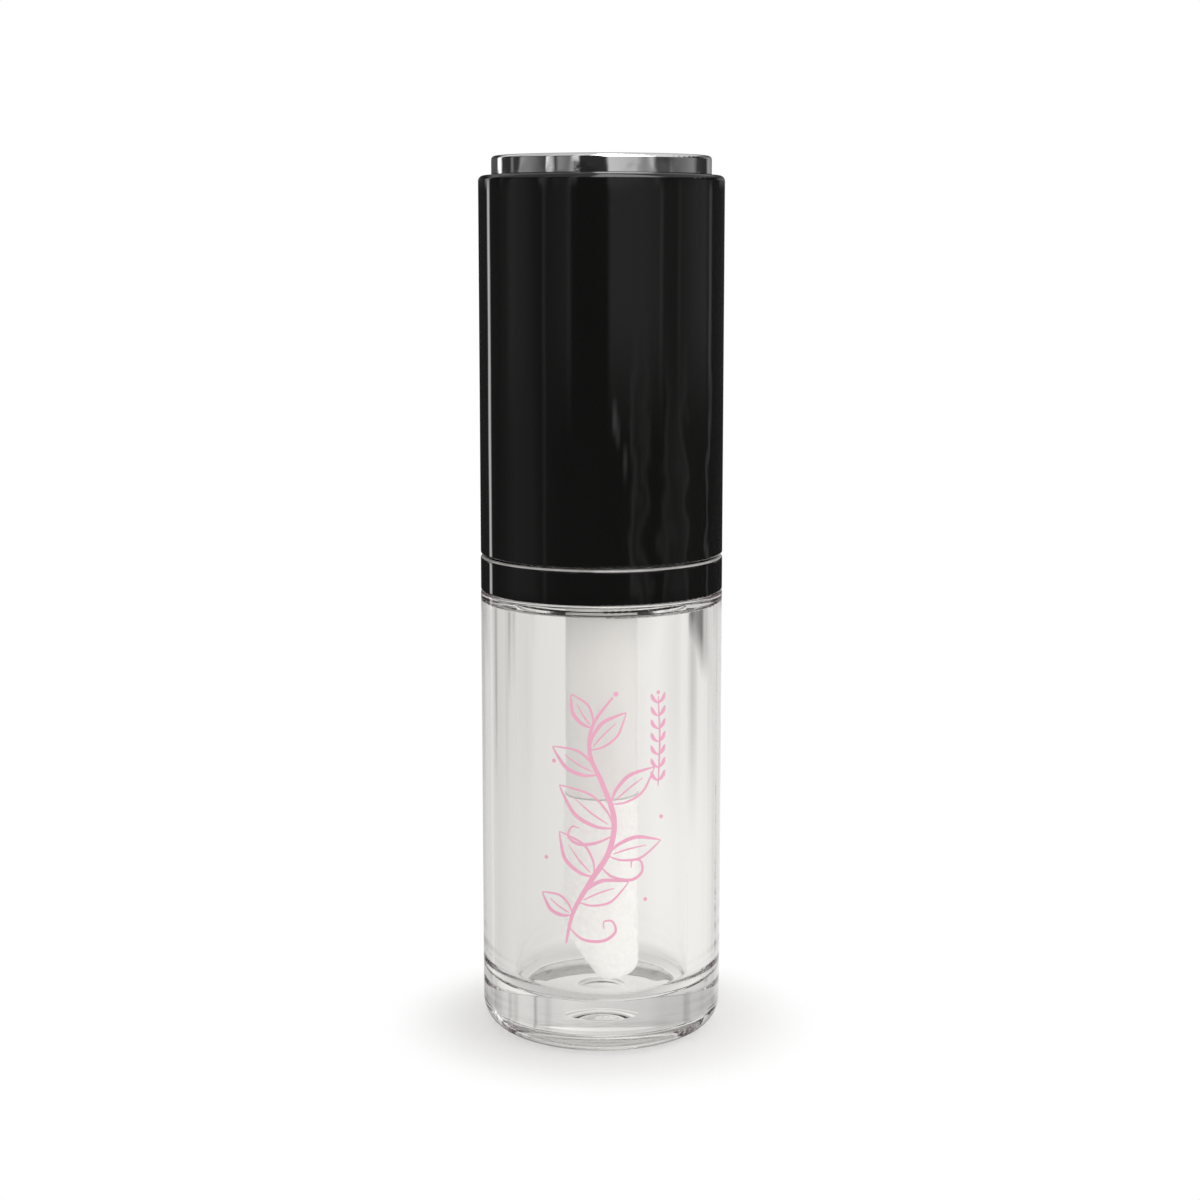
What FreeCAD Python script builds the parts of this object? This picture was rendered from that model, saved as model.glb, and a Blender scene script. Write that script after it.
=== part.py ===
import FreeCAD, Part
import math
import os

# Lip gloss tube, millimetres. +Z is up, and the origin is the centre of the base's underside.

# ---- driving dimensions ----
BODY_R = 10.0  # outside radius of the bottle, collar and cap
TOTAL_H = 72.5
RUN = 0.03  # radial clearance between pieces that slide into each other
AIR = 0.15  # gap between pieces that turn against each other

# bottle
BOTTLE_H = 37.15  # underside to shoulder
CAVITY_R = 7.3
FLOOR_Z = 3.95  # inside floor of the cavity
CEILING_Z = 36.15
FLOOR_CORNER_W = 0.7  # slope between the floor and the cavity wall
FLOOR_CORNER_H = 1.2
FLOOR_FILLET = 1.0
WALL_FILLET = 1.6
CEILING_FILLET = 0.25
BORE_FILLET = 0.1
BASE_ROUND = 2.3  # rounding of the bottom's outer edge
SHOULDER_ROUND = 0.2
FOOT_RING_IN_R = 7.4  # the underside is hollowed inside this radius
FOOT_RECESS = 1.5
FOOT_BEVEL = 0.1
RECESS_FILLET = 0.3
GATE_R = 2.0  # moulding gate's dimple in the underside
GATE_DEPTH = 0.5

# neck
NECK_TOP_Z = 51.0
NECK_BORE_R = 4.6
NECK_ROOT_R = 6.3
NECK_CREST_R = 6.85
SEAT_R = 7.1  # land that carries the collar ring
SEAT_TOP_Z = 39.6
BEAD_Z = 38.6  # snap bead on that land
BEAD_H = 0.12
BEAD_HALF = 0.3  # half the bead's height along Z

# thread, two starts, right hand
STARTS = 2
PITCH = 3.0
LEAD = STARTS * PITCH
THREAD_Z = 42.85  # centre of the lowest end of the bottle's ridges
THREAD_TURNS = 0.9
RIDGE_ROOT_W = 1.4
RIDGE_CREST_W = 0.7
RIDGE_SINK = 0.3  # how far a ridge's foot is buried in its wall
FLANK_AIR = 0.12

# collar
COLLAR_TOP_Z = 40.08
COLLAR_LIP_R = 6.9  # the ring turns in over the land
COLLAR_ROUND = 0.15
COLLAR_TOP_ROUND = 0.3

# cap
CAP_BOTTOM_Z = 40.23
CAP_TOP_Z = 70.95
CAP_WALL = 1.2
CAP_ROOF = 1.4
CAP_EDGE_ROUND = 0.45
CAP_LIP_ROUND = 0.15

# chromed disc on the cap
DISC_R = 8.93
DISC_ROUND = 0.3
SPIGOT_R = 1.6
SPIGOT_L = 3.2

# inner cap
LINER_BOTTOM_Z = 40.6
LINER_ROOT_R = 7.0
LINER_CREST_R = 6.42
LINER_SKIRT_R = 8.3
LINER_CEILING_Z = 52.65
LINER_DECK = 1.5  # thickness of the wall over the thread
SOCKET_TOP_Z = 60.0
SOCKET_R = 5.0
LINER_TOP_Z = 69.25
LINER_COLUMN_R = 3.4
RIBS = 6
RIB_T = 1.0
GRIP_RIBS = 12
GRIP_RIB_W = 1.1

# wiper
WIPER_FLANGE_R = 5.9
WIPER_FLANGE_T = 0.6
WIPER_WALL = 0.6
WIPER_BOTTOM_Z = 39.85
WIPER_LIP_R = 3.3
WIPER_LIP_T = 0.35
WIPER_CONE_H = 2.6

# gasket
GASKET_T = 0.95
GASKET_R = 6.2

# wand
STEM_R = 3.0
STEM_TOP_Z = 58.6
STEM_BOTTOM_Z = 20.0
SNAP_Z = 55.4  # ring that locks the stem in its socket
SNAP_H = 0.25
SNAP_L = 1.0
CORE_SPIGOT_R = 1.7
CORE_SPIGOT_L = 7.0
CORE_R = 2.8
FLOCK_T = 0.3
TIP_Z = 4.45
SLANT_Z = 8.7  # where the slanted face meets the bar's side
SLANT_DEG = 35.0  # the slanted face's angle from the vertical
TIP_ROUND = 1.2

UP = FreeCAD.Vector(0, 0, 1)


def point(r, z):
    """A point of a profile in the XZ half plane."""
    return FreeCAD.Vector(r, 0, z)


def turned(*path):
    """A solid of revolution about Z. The path lists (r, z), or (r, z, fillet) for a rounded corner."""
    corners = [(point(p[0], p[1]), p[2] if len(p) > 2 else 0.0) for p in path]
    edges = []
    ends = []
    for i, (here, radius) in enumerate(corners):
        before = corners[i - 1][0]
        after = corners[(i + 1) % len(corners)][0]
        if radius <= 0:
            ends.append((here, here))
            continue
        to_before = (before - here).normalize()
        to_after = (after - here).normalize()
        half = to_before.getAngle(to_after) / 2
        back = radius / math.tan(half)
        start = here + to_before * back
        stop = here + to_after * back
        middle_way = (to_before + to_after).normalize()
        centre = here + middle_way * (radius / math.sin(half))
        edges.append(Part.Arc(start, centre - middle_way * radius, stop).toShape())
        ends.append((start, stop))
    for i, (start, _) in enumerate(ends):
        previous_stop = ends[i - 1][1]
        if previous_stop.distanceToPoint(start) > 1e-6:
            edges.append(Part.LineSegment(previous_stop, start).toShape())
    wire = Part.Wire(Part.__sortEdges__(edges))
    return Part.Face(wire).revolve(FreeCAD.Vector(0, 0, 0), UP, 360)


def rod(r, z0, z1):
    """A plain cylinder about Z between two heights."""
    return Part.makeCylinder(r, z1 - z0, point(0, z0))


def tube(r_in, r_out, z0, z1):
    """A plain sleeve about Z."""
    return rod(r_out, z0, z1).cut(rod(r_in, z0 - 1, z1 + 1))


def ridge(foot_r, crest_r, z0, turns, start_angle):
    """One thread start: a trapezoid, foot at foot_r and crest at crest_r, swept along a right-hand helix."""
    outward = 1 if crest_r > foot_r else -1
    slope = (RIDGE_ROOT_W - RIDGE_CREST_W) / 2 / abs(crest_r - foot_r)
    buried_r = foot_r - outward * RIDGE_SINK
    foot_half = RIDGE_ROOT_W / 2 + slope * RIDGE_SINK
    crest_half = RIDGE_CREST_W / 2
    outline = [
        point(buried_r, z0 - foot_half),
        point(crest_r, z0 - crest_half),
        point(crest_r, z0 + crest_half),
        point(buried_r, z0 + foot_half),
    ]
    profile = Part.makePolygon(outline + [outline[0]])
    path = Part.makeHelix(LEAD, LEAD * turns, crest_r)
    path.translate(point(0, z0))
    swept = Part.Wire(path.Edges).makePipeShell([profile], True, True)
    swept.rotate(FreeCAD.Vector(0, 0, 0), UP, start_angle)
    return swept


def ridges(foot_r, crest_r, z0, turns):
    """All starts of a thread."""
    return [ridge(foot_r, crest_r, z0, turns, 360 * k / STARTS) for k in range(STARTS)]


def snap_bead(grow):
    """The bead round the neck's land, made larger by grow for its groove in the collar."""
    half = BEAD_HALF + 2 * grow
    return turned(
        (SEAT_R - BEAD_HALF, BEAD_Z - half),
        (SEAT_R + grow, BEAD_Z - half),
        (SEAT_R + BEAD_H + grow, BEAD_Z),
        (SEAT_R + grow, BEAD_Z + half),
        (SEAT_R - BEAD_HALF, BEAD_Z + half),
    )


def make_bottle():
    """Thick-wall bottle with its cavity, neck and male thread."""
    outside = turned(
        (0, 0),
        (BODY_R, 0, BASE_ROUND),
        (BODY_R, BOTTLE_H, SHOULDER_ROUND),
        (SEAT_R, BOTTLE_H),
        (SEAT_R, SEAT_TOP_Z, 0.2),
        (NECK_ROOT_R, SEAT_TOP_Z),
        (NECK_ROOT_R, NECK_TOP_Z, 0.2),
        (0, NECK_TOP_Z),
    )
    bead = snap_bead(0)
    cavity = turned(
        (0, FLOOR_Z),
        (CAVITY_R - FLOOR_CORNER_W, FLOOR_Z, FLOOR_FILLET),
        (CAVITY_R, FLOOR_Z + FLOOR_CORNER_H, WALL_FILLET),
        (CAVITY_R, CEILING_Z, CEILING_FILLET),
        (NECK_BORE_R, CEILING_Z, BORE_FILLET),
        (NECK_BORE_R, NECK_TOP_Z + 1),
        (0, NECK_TOP_Z + 1),
    )
    recess = turned(
        (0, -1),
        (FOOT_RING_IN_R + FOOT_BEVEL, -1),
        (FOOT_RING_IN_R + FOOT_BEVEL, 0),
        (FOOT_RING_IN_R, FOOT_BEVEL),
        (FOOT_RING_IN_R, FOOT_RECESS, RECESS_FILLET),
        (0, FOOT_RECESS),
    )
    dimple_r = (GATE_R**2 + GATE_DEPTH**2) / 2 / GATE_DEPTH
    dimple = Part.makeSphere(dimple_r, point(0, FOOT_RECESS + GATE_DEPTH - dimple_r))
    body = outside.fuse([bead] + ridges(NECK_ROOT_R, NECK_CREST_R, THREAD_Z, THREAD_TURNS))
    return body.cut([cavity, recess, dimple]).removeSplitter()


def make_collar_ring():
    """Black ring that snaps onto the neck's land and covers the shoulder."""
    bottom_z = BOTTLE_H + RUN
    ring = turned(
        (SEAT_R + RUN, bottom_z),
        (BODY_R, bottom_z, COLLAR_ROUND),
        (BODY_R, COLLAR_TOP_Z, COLLAR_TOP_ROUND),
        (COLLAR_LIP_R, COLLAR_TOP_Z),
        (COLLAR_LIP_R, SEAT_TOP_Z + RUN),
        (SEAT_R + RUN, SEAT_TOP_Z + RUN),
    )
    return ring.cut(snap_bead(RUN))


def make_neck_wiper():
    """Plug in the neck: flange, sleeve, and a cone that ends in the wiping lip."""
    sleeve_r = NECK_BORE_R - RUN
    cone_top_z = WIPER_BOTTOM_Z + WIPER_CONE_H
    return turned(
        (sleeve_r - WIPER_WALL, NECK_TOP_Z + WIPER_FLANGE_T, 0.2),
        (WIPER_FLANGE_R, NECK_TOP_Z + WIPER_FLANGE_T, 0.15),
        (WIPER_FLANGE_R, NECK_TOP_Z),
        (sleeve_r, NECK_TOP_Z),
        (sleeve_r, cone_top_z, 0.6),
        (WIPER_LIP_R + WIPER_LIP_T, WIPER_BOTTOM_Z),
        (WIPER_LIP_R, WIPER_BOTTOM_Z),
        (WIPER_LIP_R, WIPER_BOTTOM_Z + 0.3),
        (sleeve_r - WIPER_WALL, cone_top_z + 0.4, 0.6),
    )


def make_cap_gasket():
    """Washer under the inner cap's ceiling, held on the stem."""
    bottom_z = NECK_TOP_Z + WIPER_FLANGE_T + RUN
    return tube(STEM_R + RUN, GASKET_R, bottom_z, bottom_z + GASKET_T)


def make_cap_shell():
    """Tall glossy outer cap, open below, with a hole in its roof for the disc's spigot."""
    return turned(
        (BODY_R - CAP_WALL, CAP_BOTTOM_Z, CAP_LIP_ROUND),
        (BODY_R, CAP_BOTTOM_Z, CAP_LIP_ROUND),
        (BODY_R, CAP_TOP_Z, CAP_EDGE_ROUND),
        (SPIGOT_R + RUN, CAP_TOP_Z),
        (SPIGOT_R + RUN, CAP_TOP_Z - CAP_ROOF),
        (BODY_R - CAP_WALL, CAP_TOP_Z - CAP_ROOF, 0.4),
    )


def make_top_disc():
    """Chromed disc on the cap's roof, with a spigot pressed through it."""
    return turned(
        (0, CAP_TOP_Z - SPIGOT_L),
        (SPIGOT_R, CAP_TOP_Z - SPIGOT_L, 0.3),
        (SPIGOT_R, CAP_TOP_Z),
        (DISC_R, CAP_TOP_Z, 0.1),
        (DISC_R, TOTAL_H, DISC_ROUND),
        (0, TOTAL_H),
    )


def make_cap_liner():
    """Inner cap: threaded skirt, wand socket, and a ribbed column up to the outer cap's roof."""
    shell_r = BODY_R - CAP_WALL - RUN
    deck_z = LINER_CEILING_Z + LINER_DECK
    skirt = turned(
        (LINER_ROOT_R, LINER_BOTTOM_Z, 0.2),
        (LINER_SKIRT_R, LINER_BOTTOM_Z, 0.3),
        (LINER_SKIRT_R, deck_z),
        (SOCKET_R, deck_z, 0.5),
        (SOCKET_R, SOCKET_TOP_Z, 0.5),
        (LINER_COLUMN_R, SOCKET_TOP_Z),
        (LINER_COLUMN_R, LINER_TOP_Z),
        (0, LINER_TOP_Z),
        (0, LINER_CEILING_Z),
        (LINER_ROOT_R, LINER_CEILING_Z),
    )
    ribs = []
    rib_corner = FreeCAD.Vector(0, -RIB_T / 2, deck_z)
    for k in range(RIBS):
        rib = Part.makeBox(shell_r, RIB_T, LINER_TOP_Z - deck_z, rib_corner)
        rib.rotate(FreeCAD.Vector(0, 0, 0), UP, 360 * k / RIBS)
        ribs.append(rib.common(rod(shell_r, deck_z, LINER_TOP_Z)))
    grips = []
    for k in range(GRIP_RIBS):
        grip = Part.makeBox(
            shell_r - LINER_SKIRT_R + 0.5,
            GRIP_RIB_W,
            deck_z - LINER_BOTTOM_Z - 1.0,
            FreeCAD.Vector(LINER_SKIRT_R - 0.5, -GRIP_RIB_W / 2, LINER_BOTTOM_Z + 1.0),
        )
        grip.rotate(FreeCAD.Vector(0, 0, 0), UP, 360 * (k + 0.5) / GRIP_RIBS)
        grips.append(grip.common(rod(shell_r, LINER_BOTTOM_Z, deck_z)))
    # The ridges lie just under the bottle's, so that closing the cap pulls it down on its gasket.
    flank_gap = RIDGE_CREST_W / 2 + RIDGE_ROOT_W / 2 + FLANK_AIR
    thread = ridges(LINER_ROOT_R, LINER_CREST_R, THREAD_Z - flank_gap, THREAD_TURNS)
    socket = rod(STEM_R + RUN, LINER_CEILING_Z - 1, STEM_TOP_Z + RUN)
    snap_groove = snap_ring(RUN)
    spigot_room = rod(SPIGOT_R + AIR, CAP_TOP_Z - SPIGOT_L - AIR, LINER_TOP_Z + 1)
    body = skirt.fuse(ribs + grips + thread)
    return body.cut([socket, snap_groove, spigot_room]).removeSplitter()


def snap_ring(grow):
    """The ring on the stem that locks in the socket, made larger by grow for its groove."""
    half = SNAP_L / 2 + grow
    return turned(
        (STEM_R - 0.5, SNAP_Z - half),
        (STEM_R + grow / 2, SNAP_Z - half),
        (STEM_R + SNAP_H + grow, SNAP_Z - half + SNAP_H),
        (STEM_R + SNAP_H + grow, SNAP_Z + half - SNAP_H),
        (STEM_R + grow / 2, SNAP_Z + half),
        (STEM_R - 0.5, SNAP_Z + half),
    )


def make_wand_stem():
    """Applicator rod with its snap ring and the blind hole that takes the tip's spigot."""
    stem = turned(
        (0, STEM_BOTTOM_Z),
        (STEM_R, STEM_BOTTOM_Z, 0.15),
        (STEM_R, STEM_TOP_Z, 0.4),
        (0, STEM_TOP_Z),
    )
    hole = rod(CORE_SPIGOT_R + RUN, STEM_BOTTOM_Z - 1, STEM_BOTTOM_Z + CORE_SPIGOT_L + RUN)
    return stem.fuse(snap_ring(0)).cut(hole)


def tip_body(grow, top_z):
    """The doe-foot shape: a round bar with a slanted face towards -X and rounded edges, thicker by grow."""
    full_r = CORE_R + grow
    low_z = TIP_Z + FLOCK_T - grow
    slant = math.radians(SLANT_DEG)
    bar = rod(full_r, low_z, top_z)
    # The wedge's face passes through the slant's start on the bar's -X side, moved out by grow.
    wedge = Part.makeBox(20, 20, 20, FreeCAD.Vector(-20, -10, -20))
    wedge.rotate(FreeCAD.Vector(0, 0, 0), FreeCAD.Vector(0, 1, 0), -SLANT_DEG)
    face_shift = FLOCK_T - grow
    start = FreeCAD.Vector(
        -CORE_R - FLOCK_T + face_shift * math.cos(slant),
        0,
        SLANT_Z + face_shift * math.sin(slant),
    )
    wedge.translate(start)
    cut = bar.cut(wedge)
    low_edges = [edge for edge in cut.Edges if edge.BoundBox.ZMax < SLANT_Z + 1]
    return cut.makeFillet(TIP_ROUND - FLOCK_T + grow, low_edges)


def make_applicator_core():
    """Soft core of the tip, with the spigot that is pressed into the stem."""
    core = tip_body(0, STEM_BOTTOM_Z)
    spigot = rod(CORE_SPIGOT_R, STEM_BOTTOM_Z, STEM_BOTTOM_Z + CORE_SPIGOT_L)
    return core.fuse(spigot).removeSplitter()


def make_applicator_flock():
    """The layer of short fibres round the core."""
    return tip_body(FLOCK_T, STEM_BOTTOM_Z).cut(tip_body(0, STEM_BOTTOM_Z + 1))


NODES = {
    "bottle": make_bottle,
    "collar_ring": make_collar_ring,
    "neck_wiper": make_neck_wiper,
    "cap_gasket": make_cap_gasket,
    "cap_shell": make_cap_shell,
    "cap_liner": make_cap_liner,
    "top_disc": make_top_disc,
    "wand_stem": make_wand_stem,
    "applicator_core": make_applicator_core,
    "applicator_flock": make_applicator_flock,
}

os.makedirs("parts", exist_ok=True)
for name, make in NODES.items():
    shape = make()
    box = shape.BoundBox
    print(f"{name}: {len(shape.Solids)} solid, valid {shape.isValid()}, {shape.Volume:.2f} mm3")
    print(f"    z {box.ZMin:.2f} to {box.ZMax:.2f}")
    shape.exportStep(f"parts/{name}.step")
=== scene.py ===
import math
import random

import bmesh
import bpy
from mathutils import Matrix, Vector


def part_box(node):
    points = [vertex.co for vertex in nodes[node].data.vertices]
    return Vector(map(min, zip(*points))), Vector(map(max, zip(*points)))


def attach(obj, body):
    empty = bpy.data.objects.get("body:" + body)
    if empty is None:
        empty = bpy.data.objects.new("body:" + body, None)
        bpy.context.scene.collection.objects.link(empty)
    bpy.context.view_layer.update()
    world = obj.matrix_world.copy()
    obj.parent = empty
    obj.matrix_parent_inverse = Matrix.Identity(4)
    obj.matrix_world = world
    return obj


# Lip gloss tube, metres. +Z is up and the tube stands on z = 0.

MM = 0.001
BODY_R = 10.0 * MM
CAVITY_R = 7.3 * MM
CAVITY_FLOOR_Z = 3.95 * MM
COLLAR_UNDER_Z = 37.32 * MM  # painted light: the collar's underside is light grey up to here
COLLAR_EDGE_Z = 39.93 * MM  # and from here its top edge carries a painted highlight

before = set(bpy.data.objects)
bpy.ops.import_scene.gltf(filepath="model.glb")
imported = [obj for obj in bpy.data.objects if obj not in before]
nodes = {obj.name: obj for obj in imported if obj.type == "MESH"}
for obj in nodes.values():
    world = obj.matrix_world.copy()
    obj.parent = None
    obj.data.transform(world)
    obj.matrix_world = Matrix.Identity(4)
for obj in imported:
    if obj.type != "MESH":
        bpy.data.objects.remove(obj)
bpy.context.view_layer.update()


# ---------------------------------------------------------------- node helpers
class Graph:
    """Short calls for building one node tree."""

    def __init__(self, tree):
        self.tree = tree

    def node(self, kind, **settings):
        made = self.tree.nodes.new(kind)
        for key, value in settings.items():
            setattr(made, key, value)
        return made

    def link(self, source, target):
        self.tree.links.new(source, target)

    def feed(self, value, socket):
        """Links a socket, or sets a plain value."""
        if isinstance(value, bpy.types.NodeSocket):
            self.link(value, socket)
        else:
            socket.default_value = value

    def math(self, operation, a, b=0.0, clamp=False):
        made = self.node("ShaderNodeMath", operation=operation, use_clamp=clamp)
        self.feed(a, made.inputs[0])
        self.feed(b, made.inputs[1])
        return made.outputs[0]

    def remap(self, value, low, high, to_low, to_high, smooth=False):
        """Maps low..high onto to_low..to_high, and holds the ends beyond them."""
        made = self.node("ShaderNodeMapRange")
        if smooth:
            made.interpolation_type = "SMOOTHSTEP"
        self.feed(value, made.inputs["Value"])
        ends = {"From Min": low, "From Max": high, "To Min": to_low, "To Max": to_high}
        for name, number in ends.items():
            made.inputs[name].default_value = number
        return made.outputs["Result"]

    def rise(self, value, low, high, smooth=False):
        """0 up to low, 1 from high on."""
        return self.remap(value, low, high, 0.0, 1.0, smooth)

    def fall(self, value, low, high, smooth=False):
        """1 up to low, 0 from high on."""
        return self.remap(value, low, high, 1.0, 0.0, smooth)

    def mix(self, factor, a, b):
        made = self.node("ShaderNodeMix", data_type="RGBA")
        self.feed(factor, made.inputs["Factor"])
        self.feed(a, made.inputs["A"])
        self.feed(b, made.inputs["B"])
        return made.outputs["Result"]

    def place(self, scale=(1, 1, 1), rotation=(0, 0, 0)):
        """Object coordinates in metres, scaled and turned."""
        where = self.node("ShaderNodeTexCoord").outputs["Object"]
        made = self.node("ShaderNodeMapping")
        self.link(where, made.inputs["Vector"])
        made.inputs["Scale"].default_value = scale
        made.inputs["Rotation"].default_value = rotation
        return made.outputs["Vector"]

    def noise(self, vector, scale, detail, distortion=0.0):
        made = self.node("ShaderNodeTexNoise")
        self.link(vector, made.inputs["Vector"])
        for name, number in {"Scale": scale, "Detail": detail, "Distortion": distortion}.items():
            made.inputs[name].default_value = number
        return made.outputs["Fac"]

    def voronoi(self, vector, scale, feature="F1"):
        made = self.node("ShaderNodeTexVoronoi", feature=feature)
        self.link(vector, made.inputs["Vector"])
        made.inputs["Scale"].default_value = scale
        return made.outputs["Distance"]

    def bump(self, height, distance, strength=1.0, over=None):
        """The surface's normal with height added, over the normal of another bump if there is one."""
        made = self.node("ShaderNodeBump")
        self.link(height, made.inputs["Height"])
        made.inputs["Distance"].default_value = distance
        made.inputs["Strength"].default_value = strength
        if over is not None:
            self.link(over, made.inputs["Normal"])
        return made.outputs["Normal"]

    def product(self, first, *others):
        """All the values multiplied together."""
        for other in others:
            first = self.math("MULTIPLY", first, other)
        return first

    def stretch(self, vector, scale):
        made = self.node("ShaderNodeVectorMath", operation="MULTIPLY")
        self.link(vector, made.inputs[0])
        made.inputs[1].default_value = scale
        return made.outputs["Vector"]

    def add(self, a, b):
        made = self.node("ShaderNodeVectorMath", operation="ADD")
        self.link(a, made.inputs[0])
        self.link(b, made.inputs[1])
        return made.outputs["Vector"]

    def tint(self, level, colour):
        """The colour times the level."""
        made = self.node("ShaderNodeVectorMath", operation="SCALE")
        self.feed(colour, made.inputs[0])
        self.feed(level, made.inputs["Scale"])
        return made.outputs["Vector"]

    def ramp(self, value, stops):
        """Grey levels that run straight between stops of (position, level)."""
        made = self.node("ShaderNodeValToRGB")
        self.link(value, made.inputs["Fac"])
        elements = made.color_ramp.elements
        while len(elements) < len(stops):
            elements.new(0.5)
        for element, (position, level) in zip(elements, stops):
            element.position = position
            element.color = (level, level, level, 1)
        return made.outputs["Color"]


def material(name):
    """A new material, its graph and its Principled shader."""
    made = bpy.data.materials.new(name)
    made.use_nodes = True
    graph = Graph(made.node_tree)
    return made, graph, made.node_tree.nodes["Principled BSDF"]


def round_the_axis(g):
    """Distance from the tube's axis, and height, of the point being shaded."""
    split = g.node("ShaderNodeSeparateXYZ")
    g.link(g.node("ShaderNodeTexCoord").outputs["Object"], split.inputs[0])
    x, y, z = split.outputs
    squares = g.math("ADD", g.math("MULTIPLY", x, x), g.math("MULTIPLY", y, y))
    return g.math("SQRT", squares), z


def scratches(g, scale, width, stretch=(1, 1, 0.08), tilt=0.4):
    """Thin hairlines, 1 on a line and 0 elsewhere."""
    lines = g.voronoi(g.place(stretch, (tilt, 0.2, 0.5)), scale, "DISTANCE_TO_EDGE")
    return g.fall(lines, 0.0, width)


def make_clear_plastic():
    """Clear, faintly streaked plastic, a little frosted along the cavity's bottom corner."""
    made, g, shader = material("clear_plastic")
    flow = g.noise(g.place((1, 1, 0.35)), scale=420, detail=2.0)
    fine = g.noise(g.place(), scale=5200, detail=3.0)
    lines = scratches(g, 260, 0.006)
    tint = g.mix(g.rise(flow, 0.3, 0.7), (0.989, 0.987, 0.982, 1), (0.996, 0.994, 0.990, 1))
    g.link(tint, shader.inputs["Base Color"])
    rough = g.math("ADD", g.remap(fine, 0.4, 0.75, 0.0, 0.012), g.math("MULTIPLY", lines, 0.03))
    out, height = round_the_axis(g)
    # Offsets from the cavity's wall and floor that hold its sloping bottom corner:
    corner = g.product(
        g.rise(out, CAVITY_R - 1.9 * MM, CAVITY_R - 1.1 * MM),
        g.fall(out, CAVITY_R + 0.04 * MM, CAVITY_R + 0.2 * MM),
        g.rise(height, CAVITY_FLOOR_Z - 0.55 * MM, CAVITY_FLOOR_Z - 0.15 * MM),
        g.fall(height, CAVITY_FLOOR_Z + 1.25 * MM, CAVITY_FLOOR_Z + 2.25 * MM),
    )
    rough = g.math("ADD", rough, g.math("MULTIPLY", corner, 0.09))
    g.link(rough, shader.inputs["Roughness"])
    shader.inputs["IOR"].default_value = 1.53
    shader.inputs["Transmission Weight"].default_value = 1.0
    g.link(g.bump(flow, 0.004 * MM), shader.inputs["Normal"])
    return made


def make_black_gloss(name, collar_painted_light=False):
    """Glossy black plastic. On the collar, a painted highlight runs along the top edge, and painted light
    makes the underside light grey.
    """
    # the second colour is the painted highlight on the collar's top edge
    dust, painted_highlight = (0.35, 0.34, 0.33, 1), (0.56, 0.55, 0.54, 1)
    # painted light: two light greys for the collar's underside
    painted_light_dim, painted_light_bright = (0.62, 0.61, 0.59, 1), (0.74, 0.73, 0.71, 1)
    made, g, shader = material(name)
    cloud = g.noise(g.place((1, 1, 0.3)), scale=160, detail=2.0)
    peel = g.noise(g.place((1, 1, 0.6)), scale=900, detail=2.0)
    specks = g.fall(g.voronoi(g.place(), 900), 0.04, 0.055)
    lines = scratches(g, 420, 0.0022)
    marks = g.math("ADD", g.math("MULTIPLY", specks, 0.4), g.math("MULTIPLY", lines, 0.15), clamp=True)
    black = g.mix(cloud, (0.0042, 0.0044, 0.0044, 1), (0.0066, 0.0064, 0.0062, 1))
    tone = g.mix(g.math("MULTIPLY", marks, 0.05), black, dust)
    if collar_painted_light:
        out, height = round_the_axis(g)
        # painted highlight along the collar's top outer edge, broken up a little
        painted_highlight_mask = g.product(
            g.rise(out, BODY_R - 0.34 * MM, BODY_R - 0.28 * MM),
            g.rise(height, COLLAR_EDGE_Z - 0.03 * MM, COLLAR_EDGE_Z + 0.03 * MM),
            g.remap(peel, 0.3, 0.6, 0.75, 1.0),
        )
        tone = g.mix(painted_highlight_mask, tone, painted_highlight)
        # painted light: the underside turns light grey so the band under the collar looks lit through the
        # bottle
        painted_light_underside_mask = g.product(
            g.fall(out, BODY_R - 0.3 * MM, BODY_R - 0.2 * MM),
            g.fall(height, COLLAR_UNDER_Z, COLLAR_UNDER_Z + 0.03 * MM),
        )
        tone = g.mix(painted_light_underside_mask, tone, g.mix(cloud, painted_light_dim, painted_light_bright))
    g.link(tone, shader.inputs["Base Color"])
    rough = g.math("ADD", g.remap(peel, 0.3, 0.7, 0.015, 0.035), g.math("MULTIPLY", marks, 0.12))
    g.link(rough, shader.inputs["Roughness"])
    shader.inputs["IOR"].default_value = 1.5
    wavy = g.bump(cloud, 0.03 * MM)
    g.link(g.bump(peel, 0.0012 * MM, over=wavy), shader.inputs["Normal"])
    return made


def make_chrome():
    """Mirror plating with a little waviness and fine wear."""
    made, g, shader = material("chrome")
    cloud = g.noise(g.place((1, 1, 0.6)), scale=330, detail=2.0)
    grain = g.noise(g.place((1, 1, 14)), scale=900, detail=3.0)
    lines = scratches(g, 500, 0.006, stretch=(1, 1, 1), tilt=0.1)
    shader.inputs["Metallic"].default_value = 1.0
    silver = g.mix(cloud, (0.80, 0.80, 0.81, 1), (0.90, 0.90, 0.90, 1))
    g.link(silver, shader.inputs["Base Color"])
    rough = g.math("ADD", g.remap(grain, 0.3, 0.7, 0.02, 0.07), g.math("MULTIPLY", lines, 0.12))
    g.link(rough, shader.inputs["Roughness"])
    g.link(g.bump(cloud, 0.05 * MM), shader.inputs["Normal"])
    return made


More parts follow.
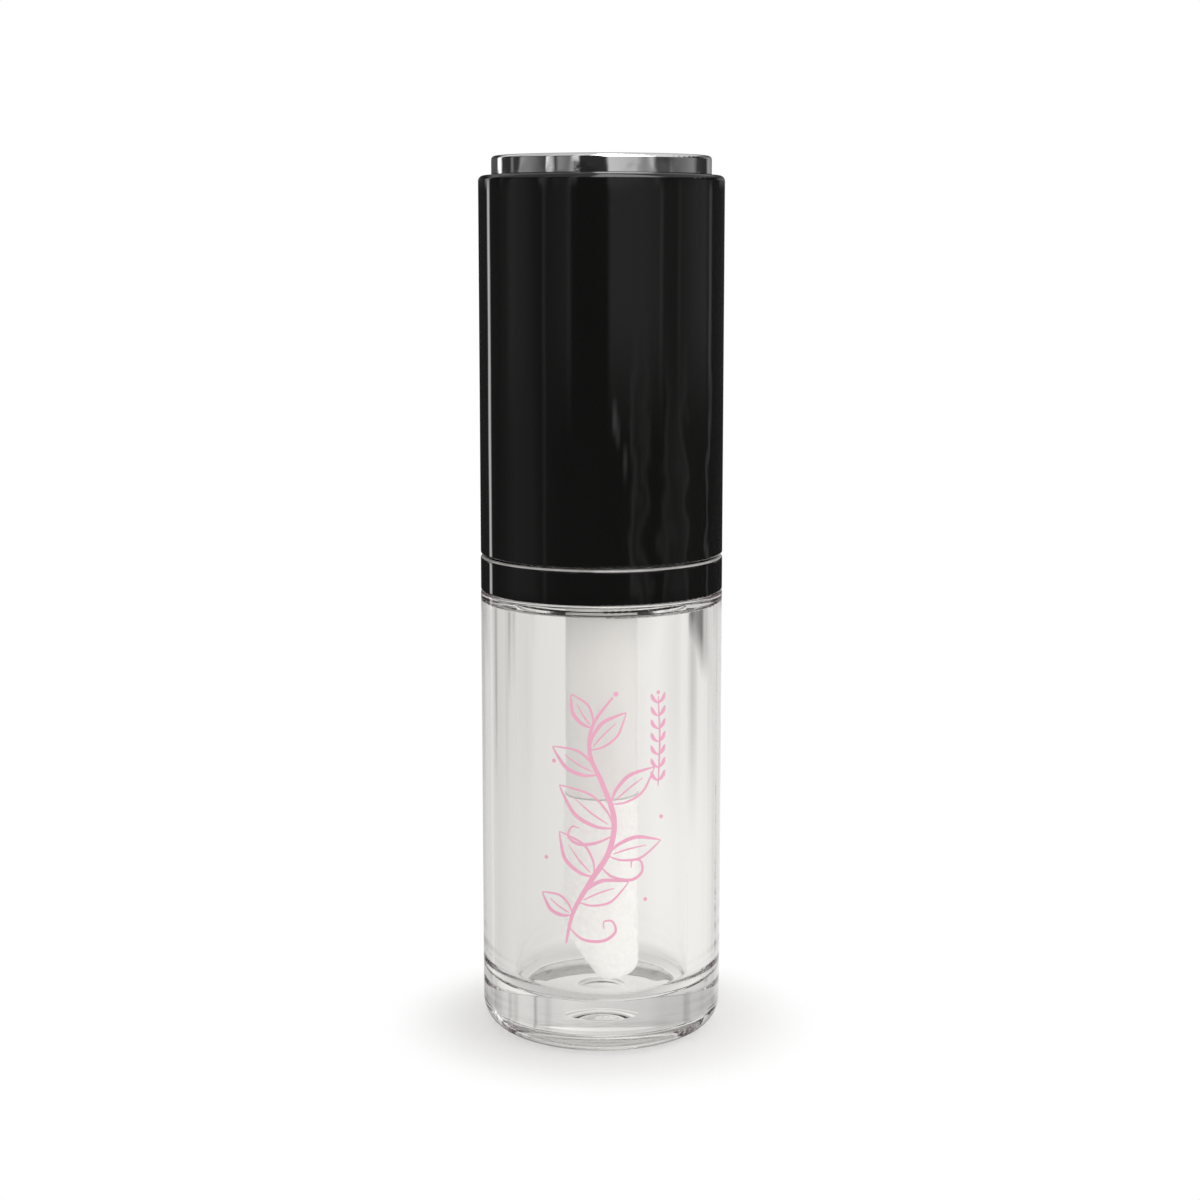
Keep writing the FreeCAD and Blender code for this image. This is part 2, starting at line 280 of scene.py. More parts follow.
def make_moulded(name, light, dark, roughness, scatter, grain_scale, bump_mm):
    """Satin injection-moulded plastic with faint flow marks."""
    made, g, shader = material(name)
    flow = g.noise(g.place((1, 1, 0.25)), scale=260, detail=3.0, distortion=0.6)
    grain = g.noise(g.place(), scale=grain_scale, detail=4.0)
    specks = g.fall(g.voronoi(g.place(), 1300), 0.05, 0.07)
    tone = g.mix(g.rise(flow, 0.3, 0.7), (*dark, 1), (*light, 1))
    dust = (0.45, 0.43, 0.4, 1)
    g.link(g.mix(g.math("MULTIPLY", specks, 0.12), tone, dust), shader.inputs["Base Color"])
    g.link(g.remap(grain, 0.3, 0.7, roughness - 0.07, roughness + 0.08), shader.inputs["Roughness"])
    shader.inputs["Subsurface Weight"].default_value = scatter
    shader.inputs["Subsurface Radius"].default_value = (1.0, 0.9, 0.8)
    shader.inputs["Subsurface Scale"].default_value = 0.6 * MM
    coarse = g.bump(flow, 0.01 * MM)
    g.link(g.bump(grain, bump_mm * MM, over=coarse), shader.inputs["Normal"])
    return made


def make_foam():
    """Closed-cell foam, with painted shade in its pores."""
    made, g, shader = material("gasket_foam")
    cells = g.voronoi(g.place(), 4200)
    cloud = g.noise(g.place(), scale=500, detail=3.0)
    tone = g.mix(cloud, (0.74, 0.73, 0.70, 1), (0.86, 0.85, 0.83, 1))
    # painted shade: the pores darken towards their middles
    pore_painted_shade = (0.55, 0.54, 0.52, 1)
    tone = g.mix(g.remap(cells, 0.0, 0.6, 0.25, 0.0), tone, pore_painted_shade)
    g.link(tone, shader.inputs["Base Color"])
    g.link(g.remap(cloud, 0.3, 0.7, 0.7, 0.9), shader.inputs["Roughness"])
    g.link(g.bump(cells, 0.03 * MM, strength=0.8), shader.inputs["Normal"])
    return made


def make_flock():
    """Velvety white fibre, with painted shade in the hollows between tufts."""
    made, g, shader = material("flock")
    tufts = g.noise(g.place(), scale=2600, detail=3.0)
    cloud = g.noise(g.place((1, 1, 0.6)), scale=350, detail=3.0)
    pale = g.mix(cloud, (0.86, 0.855, 0.845, 1), (0.95, 0.95, 0.945, 1))
    # painted shade: darker where the tufts dip
    hollow_painted_shade = (0.72, 0.715, 0.70, 1)
    tone = g.mix(g.remap(tufts, 0.3, 0.6, 0.3, 0.0), pale, hollow_painted_shade)
    g.link(tone, shader.inputs["Base Color"])
    g.link(g.remap(tufts, 0.3, 0.7, 0.8, 0.95), shader.inputs["Roughness"])
    shader.inputs["Sheen Weight"].default_value = 0.6
    shader.inputs["Sheen Roughness"].default_value = 0.5
    g.link(g.bump(tufts, 0.05 * MM, strength=0.7), shader.inputs["Normal"])
    return made


def make_ink():
    """Screen-printed pink ink."""
    made, g, shader = material("pink_ink")
    screen = g.noise(g.place(), scale=7000, detail=2.0)
    cloud = g.noise(g.place(), scale=500, detail=3.0)
    pink = g.mix(cloud, (0.80, 0.375, 0.525, 1), (0.86, 0.425, 0.585, 1))
    thin_ink = (0.90, 0.58, 0.70, 1)
    tone = g.mix(g.remap(screen, 0.62, 0.72, 0.0, 0.25), pink, thin_ink)
    g.link(tone, shader.inputs["Base Color"])
    g.link(g.remap(screen, 0.3, 0.7, 0.35, 0.5), shader.inputs["Roughness"])
    g.link(g.bump(screen, 0.003 * MM), shader.inputs["Normal"])
    return made


natural_plastic = make_moulded(
    "natural_plastic",
    light=(0.80, 0.80, 0.78),
    dark=(0.70, 0.70, 0.68),
    roughness=0.38,
    scatter=0.35,
    grain_scale=2400,
    bump_mm=0.004,
)
white_plastic = make_moulded(
    "white_plastic",
    light=(0.83, 0.825, 0.815),
    dark=(0.78, 0.775, 0.765),
    roughness=0.36,
    scatter=0.15,
    grain_scale=3000,
    bump_mm=0.003,
)
white_rubber = make_moulded(
    "white_rubber",
    light=(0.84, 0.83, 0.81),
    dark=(0.74, 0.73, 0.71),
    roughness=0.62,
    scatter=0.3,
    grain_scale=1800,
    bump_mm=0.01,
)
flock = make_flock()
ink = make_ink()

finishes = {
    "bottle": make_clear_plastic(),
    # the collar gets a painted highlight on its top edge and painted light on its underside
    "collar_ring": make_black_gloss("collar_plastic", collar_painted_light=True),
    "cap_shell": make_black_gloss("black_plastic"),
    "neck_wiper": natural_plastic,
    "cap_liner": natural_plastic,
    "cap_gasket": make_foam(),
    "top_disc": make_chrome(),
    "wand_stem": white_plastic,
    "applicator_core": white_rubber,
    "applicator_flock": flock,
}
for name, finish in finishes.items():
    mesh = nodes[name].data
    mesh.materials.clear()
    mesh.materials.append(finish)


# ---------------------------------------------------------------- applicator nap
FIBRES = 15000
FIBRE_L = 0.24 * MM
FIBRE_L_SPREAD = (0.75, 1.1)  # shortest and longest, as shares of FIBRE_L
FIBRE_R = 0.016 * MM
FIBRE_SINK = 0.08 * MM  # depth of its foot in the flock
FIBRE_LEAN = 0.33  # standard deviation, as a share of the fibre's length
FIBRE_DROOP = 0.12  # added downwards, in the same measure
RIM_DENSITY = 2.5  # the cut edge of the flock is fuller
RIM_DEPTH = 0.001 * MM
SLIVER = 1e-14  # triangles under this area, in square metres, carry no fibres
NAP_INSIDE = Vector((0.9 * MM, 0, 9.0 * MM))  # a point inside the tip that the outer faces look away from


def outer_triangles(mesh, top_z):
    """The outer triangles of the flock layer: (weight, corner, corner, corner, normal)."""
    mesh.calc_loop_triangles()
    found = []
    for triangle in mesh.loop_triangles:
        a, b, c = (mesh.vertices[i].co.copy() for i in triangle.vertices)
        normal = (b - a).cross(c - a)
        area = normal.length / 2
        middle = (a + b + c) / 3
        if area < SLIVER:
            continue
        normal.normalize()
        on_rim = min(a.z, b.z, c.z) > top_z - RIM_DEPTH
        if on_rim or normal.dot(middle - NAP_INSIDE) > 0:
            found.append((area * (RIM_DENSITY if on_rim else 1), a, b, c, normal))
    return found


def make_nap():
    """Short fibres standing on the applicator's surface."""
    draw = random.Random(11)
    _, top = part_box("applicator_flock")
    skin = outer_triangles(nodes["applicator_flock"].data, top.z)
    picked = draw.choices(skin, weights=[triangle[0] for triangle in skin], k=FIBRES)
    vertices, faces = [], []
    for _, a, b, c, normal in picked:
        s, t = draw.random(), draw.random()
        if s + t > 1:
            s, t = 1 - s, 1 - t
        root = a + (b - a) * s + (c - a) * t
        lean = [draw.gauss(0, FIBRE_LEAN) for _ in range(3)]
        lean[2] -= FIBRE_DROOP
        along = (normal + Vector(lean)).normalized()
        side = along.orthogonal().normalized()
        other = along.cross(side)
        length = FIBRE_L * draw.uniform(*FIBRE_L_SPREAD)
        foot = root - along * FIBRE_SINK
        first = len(vertices)
        for k in range(3):
            angle = 2 * math.pi * k / 3
            out = side * math.cos(angle) + other * math.sin(angle)
            vertices.append(foot + out * FIBRE_R)
        vertices.append(root + along * (length - FIBRE_SINK))
        faces += [(first + k, first + (k + 1) % 3, first + 3) for k in range(3)]
        faces.append((first + 2, first + 1, first))
    mesh = bpy.data.meshes.new("flock_nap")
    mesh.from_pydata(vertices, [], faces)
    mesh.materials.append(flock)
    made = bpy.data.objects.new("flock_nap", mesh)
    bpy.context.scene.collection.objects.link(made)
    return made


nap = make_nap()
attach(nap, "cap")


# ---------------------------------------------------------------- printed ornament
INK_OUT = BODY_R + 0.03 * MM
INK_IN = BODY_R - 0.012 * MM
STEP = 0.12  # distance between points along a stroke, mm
FINE_STEPS = 24  # steps from one control point of a curve to the next, before it is evened out
TINY = 1e-9
PEN_SWELL = 0.8  # under 1, a stroke keeps its width longer round its peak
DOT_SIDES = 16
# Points of a leaf: (share of its length, share of its bulge).
LEAF_OUTLINE = ((0, 0), (0.22, 0.72), (0.55, 1), (0.85, 0.42), (1, 0))
LEAF_VEIN = ((0.1, 0), (0.4, 0.1), (0.72, 0))
LEAF_THICK = 0.3
LEAF_THIN_SIDE = 0.62  # the leaf's second stroke is this much of the first
# A twig's leaf: millimetres out and up from its foot.
TWIG_LEAF = ((0, 0), (0.42, 0.34), (0.62, 0.82))


def curve_point(p, t):
    """A point of the Catmull-Rom curve from p[1] to p[2], at t from 0 to 1."""
    found = []
    for p0, p1, p2, p3 in zip(*p):
        straight = 2 * p1 + (p2 - p0) * t
        bent = (2 * p0 - 5 * p1 + 4 * p2 - p3) * t * t + (3 * p1 - p0 - 3 * p2 + p3) * t**3
        found.append((straight + bent) / 2)
    return tuple(found)


def catmull(points):
    """Evenly spaced points on a smooth curve through points, in millimetres."""
    last = len(points) - 1
    fine = []
    for i in range(last):
        near = [points[min(max(i + k - 1, 0), last)] for k in range(4)]
        fine += [curve_point(near, j / FINE_STEPS) for j in range(FINE_STEPS)]
    fine.append(tuple(points[-1]))
    lengths = [0.0]
    for a, b in zip(fine, fine[1:]):
        lengths.append(lengths[-1] + math.dist(a, b))
    count = max(4, round(lengths[-1] / STEP))
    even = []
    k = 0
    for i in range(count + 1):
        goal = lengths[-1] * i / count
        while k < len(lengths) - 2 and lengths[k + 1] < goal:
            k += 1
        part = (goal - lengths[k]) / max(lengths[k + 1] - lengths[k], TINY)
        even.append(tuple(fine[k][a] + (fine[k + 1][a] - fine[k][a]) * part for a in (0, 1)))
    return even


def on_body(u, z, r):
    """A point of the unrolled front, u millimetres right of its middle, on the cylinder of radius r."""
    angle = u * MM / BODY_R
    return Vector((r * math.sin(angle), -r * math.cos(angle), z * MM))


def add_ribbon(mesh, line, widths):
    """A flat ribbon of ink along a line, with solid ends."""
    rings = []
    for i, (u, z) in enumerate(line):
        before, after = line[max(i - 1, 0)], line[min(i + 1, len(line) - 1)]
        du, dz = after[0] - before[0], after[1] - before[1]
        size = math.hypot(du, dz) or 1.0
        nu, nz = -dz / size * widths[i] / 2, du / size * widths[i] / 2
        left, right = (u + nu, z + nz), (u - nu, z - nz)
        corners = ((*left, INK_OUT), (*right, INK_OUT), (*right, INK_IN), (*left, INK_IN))
        rings.append([mesh.verts.new(on_body(*corner)) for corner in corners])
    for a, b in zip(rings, rings[1:]):
        for k in range(4):
            mesh.faces.new((a[k], a[(k + 1) % 4], b[(k + 1) % 4], b[k]))
    mesh.faces.new(rings[0][::-1])
    mesh.faces.new(rings[-1])


def pen(count, thin, thick, peak):
    """Widths of a pen stroke that swells towards its peak, a share of its length."""
    widths = []
    for i in range(count):
        t = i / (count - 1)
        s = t / peak if t < peak else (1 - t) / (1 - peak)
        widths.append(thin + (thick - thin) * math.sin(math.pi / 2 * max(0.0, s)) ** PEN_SWELL)
    return widths


def add_stroke(mesh, points, thin, thick, peak=0.5):
    """A pen stroke of ink along a smooth curve through points."""
    line = catmull(points)
    add_ribbon(mesh, line, pen(len(line), thin, thick, peak))


def add_leaf(mesh, base, direction, length, bulge):
    """An open leaf outline of two strokes with a short vein."""
    cos, sin = math.cos(math.radians(direction)), math.sin(math.radians(direction))

    def at(along, across):
        return base[0] + along * cos - across * sin, base[1] + along * sin + across * cos

    for wide, thick in ((bulge, LEAF_THICK), (-bulge, LEAF_THIN_SIDE * LEAF_THICK)):
        outline = [at(length * along, wide * across) for along, across in LEAF_OUTLINE]
        add_stroke(mesh, outline, thin=0.07, thick=thick, peak=0.45)
    vein = [at(length * along, bulge * across) for along, across in LEAF_VEIN]
    add_stroke(mesh, vein, thin=0.05, thick=0.13, peak=0.3)


def add_dot(mesh, u, z, radius):
    """A round drop of ink."""
    top, low = [], []
    for k in range(DOT_SIDES):
        angle = 2 * math.pi * k / DOT_SIDES
        here = (u + radius * math.cos(angle), z + radius * math.sin(angle))
        top.append(mesh.verts.new(on_body(*here, INK_OUT)))
        low.append(mesh.verts.new(on_body(*here, INK_IN)))
    mesh.faces.new(top)
    mesh.faces.new(low[::-1])
    for k in range(DOT_SIDES):
        j = (k + 1) % DOT_SIDES
        mesh.faces.new((top[k], low[k], low[j], top[j]))


def add_twig(mesh, u, low, high, pairs):
    """A thin upright twig with small solid leaves in pairs."""
    add_stroke(mesh, [(u, low), (u + 0.15, (low + high) / 2), (u, high)], thin=0.06, thick=0.14)
    for k in range(pairs):
        z = low + (high - low) * (k + 0.45) / pairs
        for side in (1, -1):
            leaf = [(u + side * out, z + up) for out, up in TWIG_LEAF]
            add_stroke(mesh, leaf, thin=0.05, thick=0.3, peak=0.6)
    add_dot(mesh, u, high + 0.3, 0.15)


def make_print():
    """A leafy vine with a slim twig beside it, as (u, z) points of the unrolled front in millimetres."""
    mesh = bmesh.new()
    stem = [(-2.9, 9.6), (-2.3, 12.2), (-0.9, 14.8), (0.6, 17.3), (1.0, 20.0)]
    stem += [(0.1, 22.8), (-0.9, 25.2), (-0.7, 27.6), (0.9, 29.9)]
    add_stroke(mesh, stem, thin=0.16, thick=0.44, peak=0.35)
    # Leaves: (foot, direction in degrees, length, bulge).
    leaves = [
        ((-2.35, 12.0), 148, 3.1, 0.75),
        ((-1.9, 13.1), 22, 4.4, 0.95),
        ((-0.6, 15.2), 128, 4.6, 1.0),
        ((0.45, 17.0), 12, 4.6, 0.9),
        ((0.98, 19.2), 142, 5.6, 1.05),
        ((0.75, 21.2), 38, 4.6, 0.9),
        ((-0.3, 23.6), 150, 4.3, 0.85),
        ((-0.95, 25.6), 46, 4.2, 0.8),
        ((-0.75, 27.4), 122, 3.2, 0.7),
    ]
    for base, direction, length, bulge in leaves:
        add_leaf(mesh, base, direction, length, bulge)
    curls = [
        [(-0.1, 16.1), (0.9, 15.2), (2.4, 14.9), (3.3, 15.5), (3.2, 16.4), (2.5, 16.5), (2.4, 15.9)],
        [(-2.6, 10.9), (-1.5, 10.0), (0.1, 9.9), (1.1, 10.6), (0.9, 11.5), (0.2, 11.5), (0.2, 10.9)],
        [(0.9, 18.6), (-0.5, 18.0), (-1.9, 17.9), (-2.7, 18.5), (-2.4, 19.3), (-1.8, 19.2)],
    ]
    for points in curls:
        add_stroke(mesh, points, thin=0.07, thick=0.24, peak=0.4)
    add_dot(mesh, 1.15, 30.15, 0.2)
    for u, z in ((-4.6, 16.6), (5.0, 19.9), (-3.9, 24.6), (3.6, 13.2)):
        add_dot(mesh, u, z, 0.16)
    add_twig(mesh, 4.7, low=22.4, high=29.8, pairs=7)
    bmesh.ops.recalc_face_normals(mesh, faces=mesh.faces)
    data = bpy.data.meshes.new("printed_sprig")
    mesh.to_mesh(data)
    mesh.free()
    data.materials.append(ink)
    made = bpy.data.objects.new("printed_sprig", data)
    bpy.context.scene.collection.objects.link(made)
    return made


sprig = make_print()
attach(sprig, "bottle")


# ---------------------------------------------------------------- studio
FLOOR_R = 3000 * MM
SHADE_R = 10 * MM  # the floor darkens most up to here from the tube's axis,
GLOW_R = 19 * MM  # and not at all from here on
GLOW_SHARE = 0.4  # plain white mixed in next to the tube


def make_floor():
    """A pale floor that turns into the plain white surround away from the tube."""
    mesh = bmesh.new()
    bmesh.ops.create_circle(mesh, cap_ends=True, segments=96, radius=FLOOR_R)
    data = bpy.data.meshes.new("floor")
    mesh.to_mesh(data)
    mesh.free()
    made = bpy.data.objects.new("floor", data)
    bpy.context.scene.collection.objects.link(made)
    paper, g, shader = material("floor_paper")
    grain = g.noise(g.place(), scale=900, detail=3.0)
    tone = g.mix(grain, (0.87, 0.87, 0.87, 1), (0.89, 0.89, 0.89, 1))
    g.link(tone, shader.inputs["Base Color"])
    shader.inputs["Roughness"].default_value = 0.9
    shader.inputs["Specular IOR Level"].default_value = 0.0
    glow = g.node("ShaderNodeEmission")
    glow.inputs["Color"].default_value = (1, 1, 1, 1)
    out, _ = round_the_axis(g)
    blend = g.node("ShaderNodeMixShader")
    g.link(g.remap(out, SHADE_R, GLOW_R, GLOW_SHARE, 1.0, smooth=True), blend.inputs["Fac"])
    g.link(shader.outputs[0], blend.inputs[1])
    g.link(glow.outputs[0], blend.inputs[2])
    g.link(blend.outputs[0], paper.node_tree.nodes["Material Output"].inputs["Surface"])
    data.materials.append(paper)
    made.visible_glossy = False
    made.visible_transmission = False


WARM = (1.0, 0.985, 0.962)
LIGHT = 0.88  # brightness of the light on matt surfaces,
LIGHT_RIGHT = 0.4  # what it gains towards the right
LIGHT_FRONT = 0.3  # and towards the front,
LIGHT_IN_BOTTLE = 0.67  # and on what is seen in the bottle
WALL_CROSSINGS = 2  # surfaces a ray passes to cross the wall or to reach the cavity

# The studio round the tube: (degrees right of the front, brightness). A band holds two heights, which
# are z of the direction that light comes from; each light fades in or out between the two.
# What the glossy plastic reflects:
PANELS_FROM = (-0.095, -0.025)
PANELS = [
    (-180, 0.02),
    (-150, 0.03),
    (-134, 0.05),
    (-132, 3.0),
    (-129, 3.0),
    (-127, 0.05),
    (-112, 0.05),
    (-100, 0.10),
    (-93, 0.24),
    (-76, 0.20),
    (-66, 0.12),
    (-58, 0.06),
    (-55, 0.30),
    (-52, 0.10),
    (-34, 0.16),
    (-30, 0.30),
    (-27, 0.04),
    (-20, 0.02),
    (5, 0.02),
    (9, 0.33),
    (40, 0.30),
    (54, 0.22),
    (57, 0.42),
    (60, 0.10),
    (74, 0.08),
    (77, 0.24),
    (80, 0.14),
    (96, 0.22),
    (112, 0.22),
    (118, 0.10),
    (122, 0.45),
    (126, 0.04),
]
# The same lower down, where the stand in front breaks the panels up:
LOW_PANELS = [
    (-180, 0.02),
    (-150, 0.03),
    (-134, 0.05),
    (-132, 3.0),
    (-129, 3.0),
    (-127, 0.05),
    (-116, 0.04),
    (-104, 0.07),
    (-88, 0.17),
    (-68, 0.15),
    (-58, 0.06),
    (-55, 0.22),
    (-52, 0.06),
    (-34, 0.03),
    (0, 0.02),
    (20, 0.02),
    (27, 0.03),
    (31, 0.30),
    (36, 0.08),
    (41, 0.22),
    (46, 0.02),
    (58, 0.02),
    (63, 0.22),
    (70, 0.10),
    (80, 0.15),
    (84, 0.26),
    (90, 0.05),
    (118, 0.03),
    (122, 0.30),
    (126, 0.03),
]
# Folds that make the low panels on the right waver:
FOLD_SCALE = (3.0, 3.0, 42.0)
FOLD_SWAY = 0.10
FOLD_TO = (-0.10, -0.03)
FOLD_RIGHT = (0.0, 0.2)
# What lies above eye level, as the chrome shows it:
CHROME_FROM = (0.020, 0.027)
CHROME_FADE = (0.10, 0.25)
CHROME_TOP = 0.4  # what is left of it over that band
CHROME = [
    (-180, 0.10),
    (-140, 0.08),
    (-136, 1.3),
    (-129, 1.3),
    (-126, 0.04),
    (-110, 0.03),
    (-106, 0.22),
    (-102, 0.04),
    (-95, 0.04),
    (-91, 0.32),
    (-61, 0.04),
    (-59, 1.0),
    (-52, 0.35),
    (-49, 0.03),
    (-44, 0.25),
    (-32, 0.15),
    (-29, 0.9),
    (-24, 0.9),
    (-21, 0.03),
    (4, 0.03),
    (7, 0.60),
    (36, 0.50),
    (46, 0.24),
    (52, 0.55),
    (57, 0.06),
    (70, 0.05),
    (110, 0.24),
    (119, 0.04),
    (140, 0.03),
    (146, 0.35),
    (180, 0.10),
]
# Small lamps in front: (degrees right of the front, height, brightness).
GLINTS = ((12, -0.076, 0.7), (15, -0.083, 0.4), (22, -0.096, 0.45))
GLINT_ACROSS = (0.002, 0.008)  # a lamp fades out over these shares of a turn from its middle,
GLINT_ALONG = (0.002, 0.009)  # and over these heights
# The softbox over the tube:
SOFTBOX_FROM = (0.3, 0.5)
SOFTBOX = [
    (-180, 0.42),
    (-90, 0.5),
    (-40, 0.5),
    (-12, 0.7),
    (-4, 4.5),
    (55, 4.5),
    (68, 0.8),
    (180, 0.42),
]
# The pale backdrop, as the bottle's edges reflect it:
BACKDROP_FROM = (-0.40, -0.33)
BACKDROP_TO = (-0.160, -0.151)
BACKDROP_DIMS = 0.15  # what it leaves of the other reflections
BACKDROP = [
    (-180, 0.7),
    (-166, 0.4),
    (-152, 0.0),
    (138, 0.0),
    (150, 0.6),
    (164, 0.85),
    (180, 0.85),
]
# What the clear plastic shows behind it. Each step with height is (from, to, share under, share over,
# smooth).
SURROUND_STEPS = (
    (-0.9, -0.3, 0.75, 1.0, True),
    (0.12, 0.25, 1.0, 0.9, True),
    (0.255, 0.275, 1.0, 0.88, True),
    (0.328, 0.332, 1.0, 0.84, False),
)
SURROUND = [
    (-180, 0.84),
    (-165, 0.78),
    (-150, 0.72),
    (-125, 0.76),
    (-90, 0.78),
    (0, 0.80),
    (90, 0.82),
    (118, 0.93),
    (155, 0.97),
    (168, 0.96),
    (180, 0.84),
]
# Dark edges of the backdrop, as a share of the light they take away:
EDGES_FROM = (-0.27, -0.19)
EDGES = [
    (-163, 0.0),
    (-158, 0.08),
    (-154, 0.05),
    (-134, 0.05),
    (-130, 0.15),
    (-126, 0.05),
    (-100, 0.0),
    (110, 0.0),
    (122, 0.35),
    (129, 0.25),
    (134, 0.08),
    (150, 0.06),
    (157, 0.16),
    (163, 0.12),
    (170, 0.02),
]
# Dark posts that the thick base mirrors, in the same measure:
POSTS_FROM = (0.08, 0.14)
POSTS = [
    (-147, 0.0),
    (-145, 0.3),
    (-142, 0.2),
    (-140, 0.0),
    (136, 0.0),
    (139, 0.35),
    (141, 0.1),
    (144, 0.3),
    (146, 0.0),
    (153.5, 0.0),
    (155, 0.6),
    (156.5, 0.0),
    (158, 0.0),
    (159.5, 0.3),
    (162, 0.2),
    (163.5, 0.0),
]
# Dark flags higher up behind the bottle, in the same measure:
FLAGS_FROM = (-0.19, -0.12)
FLAGS_TO = (-0.04, 0.02)
FLAGS = [
    (-166, 0.0),
    (-162, 0.3),
    (-158, 0.0),
    (-134, 0.0),
    (-130, 0.4),
    (-126, 0.0),
    (136, 0.0),
    (141, 0.15),
    (144, 0.35),
    (148, 0.1),
    (151, 0.1),
    (155, 0.55),
    (159, 0.2),
    (166, 0.1),
    (174, 0.45),
    (179, 0.1),
]
# Dark marks seen only through the thick wall, up to WALL_TO under the collar: one on the right,
WALL_TO = (-0.156, -0.152)
MARK_FROM = (-0.218, -0.192)
MARK_TILT = -0.04  # minus the rise of its lower end with x
WALL_MARK = [
    (112, 0.0),
    (116, 0.65),
    (121, 0.85),
    (127, 0.7),
    (132, 0.75),
    (141, 0.85),
    (146, 0.5),
    (155, 0.3),
    (166, 0.15),
    (172, 0.0),
]
# and thin ones down the left:
LINES_FROM = (-0.287, -0.226)
LINES_TILT = 0.09  # the same for their lower ends
WALL_LINES = [
    (-160, 0.0),
    (-154, 0.5),
    (-149, 0.03),
    (-129, 0.03),
    (-124.5, 0.5),
    (-120, 0.1),
    (-115, 0.45),
    (-110, 0.0),
]


def share_of_turn(azimuth):
    """An azimuth in degrees as a share of the turn that starts behind the tube."""
    return (azimuth + 180) / 360


class Studio(Graph):
    """The world's node tree, with x, y and z of the direction that light comes from."""

    def __init__(self, tree):
        super().__init__(tree)
        self.direction = self.node("ShaderNodeTexCoord").outputs["Generated"]
        split = self.node("ShaderNodeSeparateXYZ")
        self.link(self.direction, split.inputs[0])
        self.x, self.y, self.z = split.outputs
        azimuth = self.math("ARCTAN2", self.x, self.math("MULTIPLY", self.y, -1.0))
        self.turn = self.remap(azimuth, -math.pi, math.pi, 0.0, 1.0)

    def around(self, stops, turn=None):
        """Brightness round the tube, from stops of (degrees right of the front, brightness)."""
        if turn is None:
            turn = self.turn
        return self.ramp(turn, [(share_of_turn(azimuth), level) for azimuth, level in stops])

    def above(self, band, smooth=True):
        """1 over the band of heights, 0 under it."""
        return self.rise(self.z, *band, smooth)

    def below(self, band, smooth=True):
        """1 under the band of heights, 0 over it."""
        return self.fall(self.z, *band, smooth)


def reflections(g):
    """What glossy surfaces mirror."""
    folds = g.noise(g.stretch(g.direction, FOLD_SCALE), scale=1.0, detail=1.0)
    sway = g.product(
        g.math("SUBTRACT", folds, 0.5),
        g.remap(g.z, *FOLD_TO, FOLD_SWAY, 0.0, smooth=True),
        g.rise(g.x, *FOLD_RIGHT),
    )
    low_panels = g.around(LOW_PANELS, g.math("ADD", g.turn, sway))
    level = g.mix(g.above(PANELS_FROM), low_panels, g.around(PANELS))
    for azimuth, height, brightness in GLINTS:
        across = g.math("ABSOLUTE", g.math("SUBTRACT", g.turn, share_of_turn(azimuth)))
        along = g.math("ABSOLUTE", g.math("SUBTRACT", g.z, height))
        spot = g.remap(across, *GLINT_ACROSS, brightness, 0.0)
        level = g.add(level, g.math("MULTIPLY", spot, g.fall(along, *GLINT_ALONG)))
    behind = g.math("MULTIPLY", g.below(BACKDROP_TO, smooth=False), g.above(BACKDROP_FROM, smooth=False))
    level = g.mix(behind, level, g.add(g.tint(BACKDROP_DIMS, level), g.around(BACKDROP)))
    chrome = g.tint(g.remap(g.z, *CHROME_FADE, 1.0, CHROME_TOP), g.around(CHROME))
    level = g.mix(g.above(CHROME_FROM, smooth=False), level, chrome)
    return g.add(level, g.math("MULTIPLY", g.around(SOFTBOX), g.above(SOFTBOX_FROM)))


def surround(g, crossings):
    """What the clear plastic shows behind it; crossings counts the surfaces a ray has passed."""
    edges = g.math("MULTIPLY", g.around(EDGES), g.above(EDGES_FROM))
    flags = g.product(g.around(FLAGS), g.above(FLAGS_FROM), g.below(FLAGS_TO, smooth=False))
    posts = g.math("MULTIPLY", g.around(POSTS), g.above(POSTS_FROM, smooth=False))
    mark_z = g.math("ADD", g.z, g.math("MULTIPLY", g.x, MARK_TILT))
    mark = g.math("MULTIPLY", g.around(WALL_MARK), g.rise(mark_z, *MARK_FROM, smooth=True))
    lines_z = g.math("ADD", g.z, g.math("MULTIPLY", g.x, LINES_TILT))
    lines = g.math("MULTIPLY", g.around(WALL_LINES), g.rise(lines_z, *LINES_FROM, smooth=True))
    in_wall = g.product(
        g.math("MAXIMUM", mark, lines),
        g.below(WALL_TO, smooth=False),
        g.fall(crossings, WALL_CROSSINGS + 0.5, WALL_CROSSINGS + 1.5),
    )
    dark = edges
    for shade in (flags, posts, in_wall):
        dark = g.math("MAXIMUM", dark, shade)
    height = g.product(*(g.remap(g.z, *step) for step in SURROUND_STEPS))
    return g.tint(g.product(g.around(SURROUND), g.math("SUBTRACT", 1.0, dark), height), WARM)


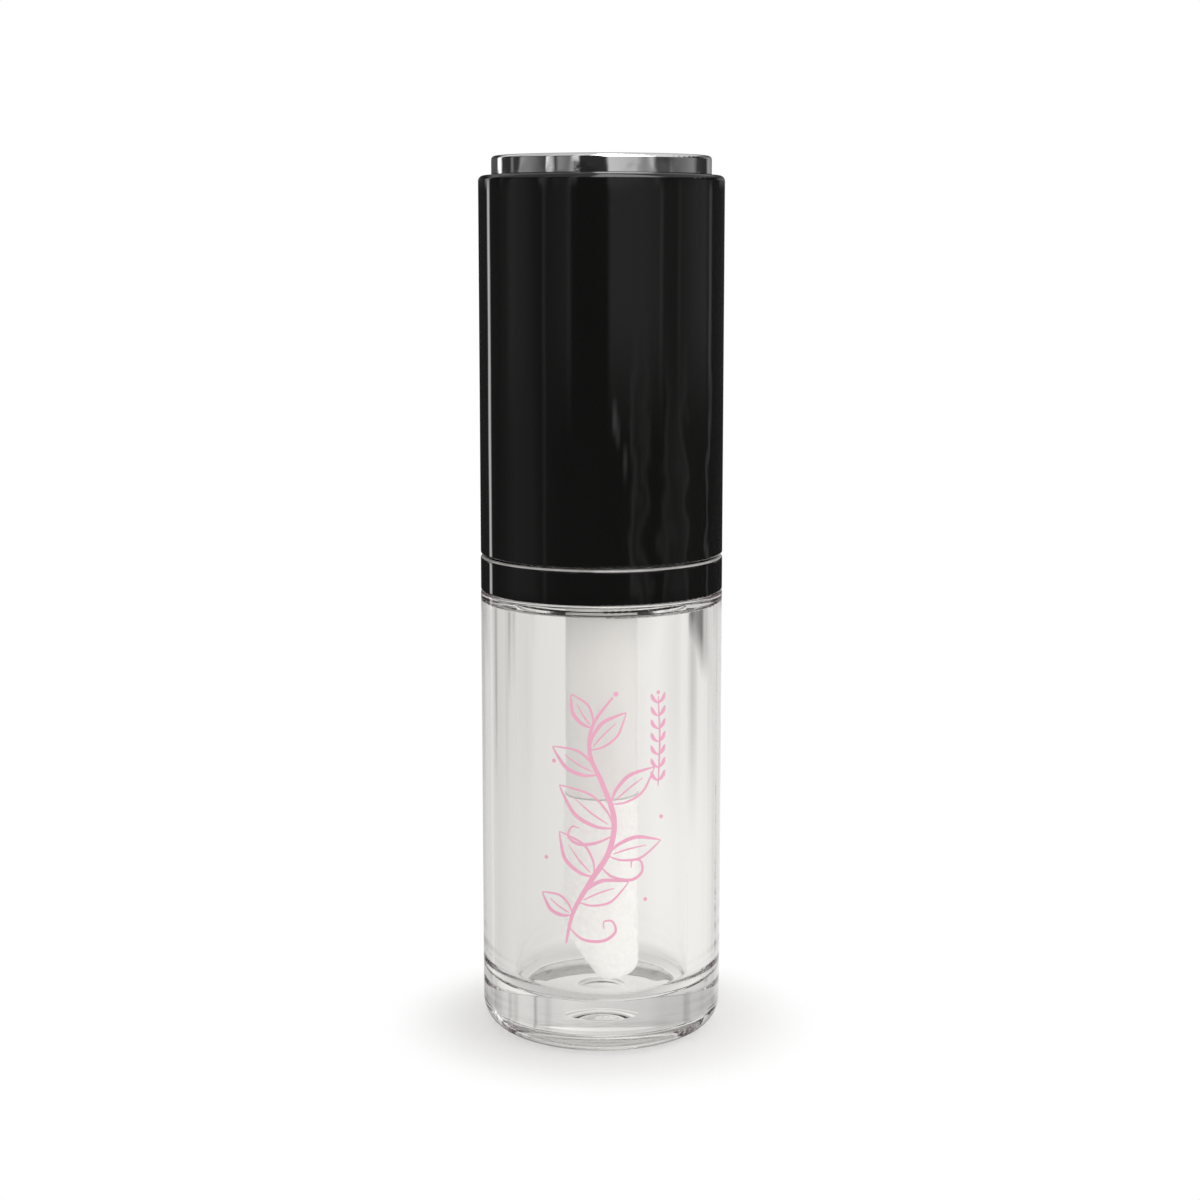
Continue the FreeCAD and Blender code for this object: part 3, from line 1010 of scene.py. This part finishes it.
def lighting(g, crossings):
    """The light on matt surfaces: stronger from the front right, and on what is seen in the bottle."""
    side = g.math("ADD", g.math("MULTIPLY", g.x, LIGHT_RIGHT), g.math("MULTIPLY", g.y, -LIGHT_FRONT))
    in_bottle = g.rise(crossings, WALL_CROSSINGS - 0.5, WALL_CROSSINGS + 0.5)
    level = g.math("ADD", LIGHT, g.math("MULTIPLY", in_bottle, LIGHT_IN_BOTTLE))
    return g.tint(g.math("ADD", side, level), WARM)


def make_world():
    """Soft white surround, with panels that glossy surfaces reflect."""
    world = bpy.data.worlds.new("studio")
    bpy.context.scene.world = world
    world.use_nodes = True
    world.cycles.sampling_method = "NONE"
    g = Studio(world.node_tree)
    rays = g.node("ShaderNodeLightPath").outputs
    crossings = rays["Transmission Depth"]
    through = surround(g, crossings)
    level = g.mix(rays["Is Glossy Ray"], through, reflections(g))
    level = g.mix(rays["Is Transmission Ray"], level, through)
    scattered = g.math("GREATER_THAN", rays["Diffuse Depth"], 0.5)
    level = g.mix(scattered, level, lighting(g, crossings))
    level = g.mix(rays["Is Camera Ray"], level, (1, 1, 1, 1))
    g.link(level, world.node_tree.nodes["Background"].inputs["Color"])


CAMERA_AT = (0, -190 * MM, 66 * MM)
CAMERA_DOWN = 8.385  # degrees below level
CAMERA_LENS_MM = 69.33
CAMERA_SENSOR_MM = 36
CAMERA_SHIFT = (-0.00125, -0.0183)
CAMERA_NEAR = 5 * MM


def make_camera():
    """A camera at the viewpoint of the photograph."""
    data = bpy.data.cameras.new("camera")
    made = bpy.data.objects.new("camera", data)
    bpy.context.scene.collection.objects.link(made)
    made.location = CAMERA_AT
    made.rotation_euler = (math.radians(90 - CAMERA_DOWN), 0, 0)
    data.sensor_width = CAMERA_SENSOR_MM
    data.lens = CAMERA_LENS_MM
    data.shift_x, data.shift_y = CAMERA_SHIFT
    data.clip_start = CAMERA_NEAR
    bpy.context.scene.camera = made


make_floor()
make_world()
make_camera()

BOUNCES = 24  # the clear wall is crossed many times
scene = bpy.context.scene
scene.view_settings.view_transform = "Standard"
scene.cycles.max_bounces = BOUNCES
scene.cycles.transmission_bounces = BOUNCES
scene.cycles.glossy_bounces = BOUNCES
